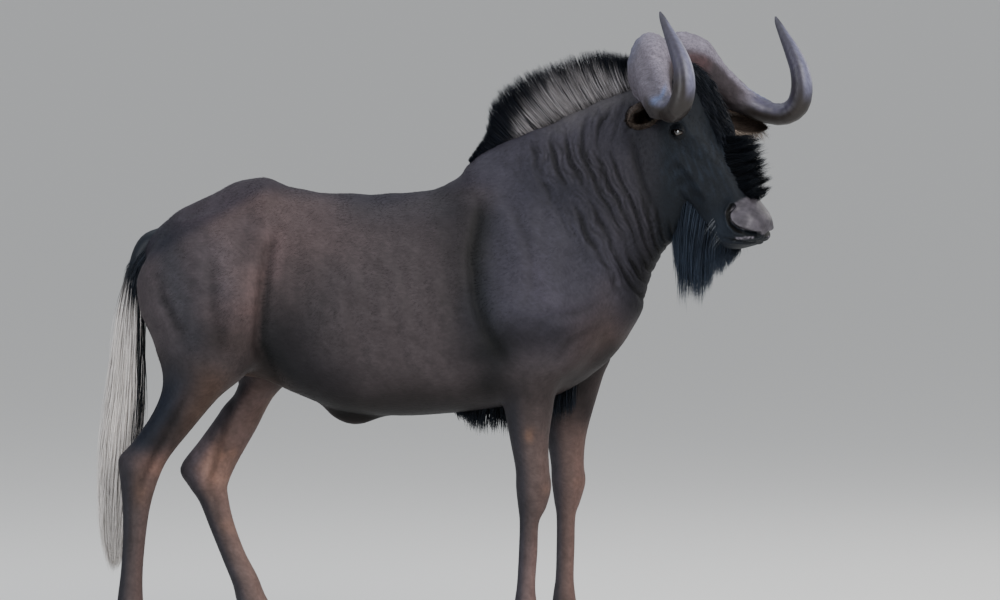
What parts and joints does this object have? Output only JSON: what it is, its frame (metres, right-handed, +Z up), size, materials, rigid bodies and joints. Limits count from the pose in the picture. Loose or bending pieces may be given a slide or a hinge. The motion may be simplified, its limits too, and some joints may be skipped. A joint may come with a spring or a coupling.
{
  "type": "black wildebeest",
  "caption": "Life-size still model of a standing black wildebeest bull, head turned to its right, with erect mane, beard, hooked horns and a long pale tail; it rests on its hooves.",
  "frame": {"origin": "on the ground, under the middle of the animal's outline seen from above", "axes": "+X towards the front of the body, +Y to the animal's left, +Z up"},
  "size_m": [1.621, 0.5572, 1.4728],
  "materials": {
    "coat": "short dark brown coat with a dull sheen",
    "face": "short black coat, grey muzzle pad",
    "legs": "short brown coat",
    "ear": "short brown coat with a pale rim",
    "mane": "coarse hair, pale at the base with black tips",
    "dark_hair": "long black hair",
    "tail_hair": "long off-white hair",
    "horn": "grey horn, rough on the boss and smooth at the tips",
    "hoof": "dark keratin",
    "eye": "wet and glossy"
  },
  "bodies": {
    "root": {"torso": "coat", "neck": "coat", "head": "face", "eye_right": "eye", "eye_left": "eye", "ear_right": "ear", "ear_left": "ear", "horn_right": "horn", "horn_left": "horn", "forearm_right": "legs", "cannon_fore_right": "legs", "forearm_left": "legs", "cannon_fore_left": "legs", "thigh_right": "legs", "cannon_hind_right": "legs", "thigh_left": "legs", "cannon_hind_left": "legs", "claw_fore_right_outer": "hoof", "claw_fore_right_inner": "hoof", "claw_fore_left_outer": "hoof", "claw_fore_left_inner": "hoof", "claw_hind_right_outer": "hoof", "claw_hind_right_inner": "hoof", "claw_hind_left_outer": "hoof", "claw_hind_left_inner": "hoof", "mane": "mane", "beard": "dark_hair", "nose_brush": "dark_hair", "chest_fringe": "dark_hair", "tail_dock": "dark_hair", "tail_hair": "tail_hair"}
  },
  "joints": []
}
